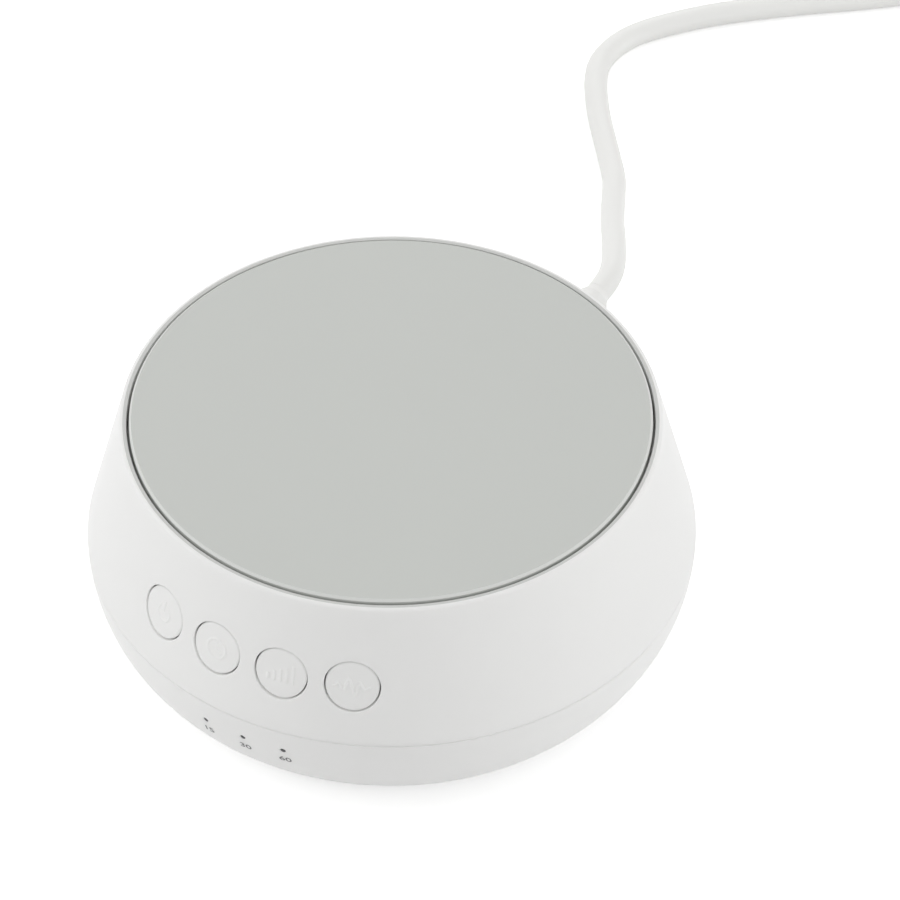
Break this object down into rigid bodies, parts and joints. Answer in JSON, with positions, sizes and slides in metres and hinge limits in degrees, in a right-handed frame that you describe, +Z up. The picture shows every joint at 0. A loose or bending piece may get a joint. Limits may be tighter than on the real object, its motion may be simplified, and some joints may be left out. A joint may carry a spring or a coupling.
{
  "type": "white noise machine",
  "caption": "Round tabletop white noise machine with waisted two-part housing, flat disc cover over a hidden speaker, push buttons, timer lights and a low-voltage lead.",
  "frame": {"origin": "centre of the round body, on the table that the rubber feet stand on", "axes": "+Z up through the disc cover, -Y towards the buttons, +Y towards the jack and lead, +X to the right as seen from the buttons"},
  "size_m": [0.1197, 0.4295, 0.0529],
  "materials": {
    "shell": "satin white moulded plastic",
    "cover": "matte pale grey moulded plastic",
    "black_plastic": "black moulded plastic",
    "light_plastic": "natural nylon",
    "clear_plastic": "clear moulded plastic",
    "cone_plastic": "pressed speaker cone",
    "spider_cloth": "resin-stiffened cloth",
    "soft_rubber": "black soft rubber",
    "foot_rubber": "grey rubber",
    "basket_steel": "black painted pressed steel",
    "ferrite": "ferrite ring magnet",
    "screw_steel": "zinc-plated steel",
    "copper": "enamelled copper wire on a paper former",
    "can_aluminium": "sleeved aluminium can",
    "board": "green solder mask on fibreglass",
    "lead_jacket": "soft white PVC jacket",
    "adapter_plastic": "white moulded plastic",
    "pin_brass": "nickel-plated brass"
  },
  "bodies": {
    "housing": {"upper_housing": "shell", "lower_housing": "shell", "top_cover": "cover", "cover_screws": "screw_steel", "housing_screws": "screw_steel", "rubber_feet": "foot_rubber", "key_switches": "black_plastic", "key_board": "board", "key_board_screws": "screw_steel", "key_cable": "light_plastic", "speaker_gasket": "soft_rubber", "speaker_basket": "basket_steel", "speaker_top_plate": "screw_steel", "speaker_magnet": "ferrite", "speaker_yoke": "screw_steel", "speaker_spider": "spider_cloth", "speaker_surround": "soft_rubber", "speaker_screws": "screw_steel", "speaker_wires": "black_plastic", "main_board": "board", "main_board_screws": "screw_steel", "dc_jack": "black_plastic", "sound_chip": "black_plastic", "amplifier_chip": "black_plastic", "capacitors": "can_aluminium", "wire_sockets": "light_plastic", "timer_leds": "light_plastic", "light_pipe": "clear_plastic", "dc_plug": "lead_jacket", "power_cord": "lead_jacket", "cord_coil": "lead_jacket", "cord_tie": "light_plastic", "wall_adapter": "adapter_plastic", "adapter_pins": "pin_brass"},
    "power_key": {"button_power": "shell", "stem_power": "black_plastic"},
    "timer_key": {"button_timer": "shell", "stem_timer": "black_plastic"},
    "volume_key": {"button_volume": "shell", "stem_volume": "black_plastic"},
    "sound_key": {"button_sound": "shell", "stem_sound": "black_plastic"},
    "cone": {"speaker_cone": "cone_plastic", "voice_coil": "copper", "dust_cap": "cone_plastic"}
  },
  "joints": [
    {"name": "power_press", "type": "slide", "parent": "housing", "child": "power_key", "axis": [0.3608, 0.9326, 0], "range_m": [0, 0.0006], "stiffness_N_per_m": 2000, "springref_m": -0.0004},
    {"name": "timer_press", "type": "slide", "parent": "housing", "child": "timer_key", "axis": [0.1227, 0.9924, 0], "range_m": [0, 0.0006], "stiffness_N_per_m": 2000, "springref_m": -0.0004},
    {"name": "volume_press", "type": "slide", "parent": "housing", "child": "volume_key", "axis": [-0.1227, 0.9924, 0], "range_m": [0, 0.0006], "stiffness_N_per_m": 2000, "springref_m": -0.0004},
    {"name": "sound_press", "type": "slide", "parent": "housing", "child": "sound_key", "axis": [-0.3608, 0.9326, 0], "range_m": [0, 0.0006], "stiffness_N_per_m": 2000, "springref_m": -0.0004},
    {"name": "cone_stroke", "type": "slide", "parent": "housing", "child": "cone", "axis": [0, 0, 1], "range_m": [-0.001, 0.001], "stiffness_N_per_m": 900, "deforming": ["speaker_surround", "speaker_spider"]}
  ]
}
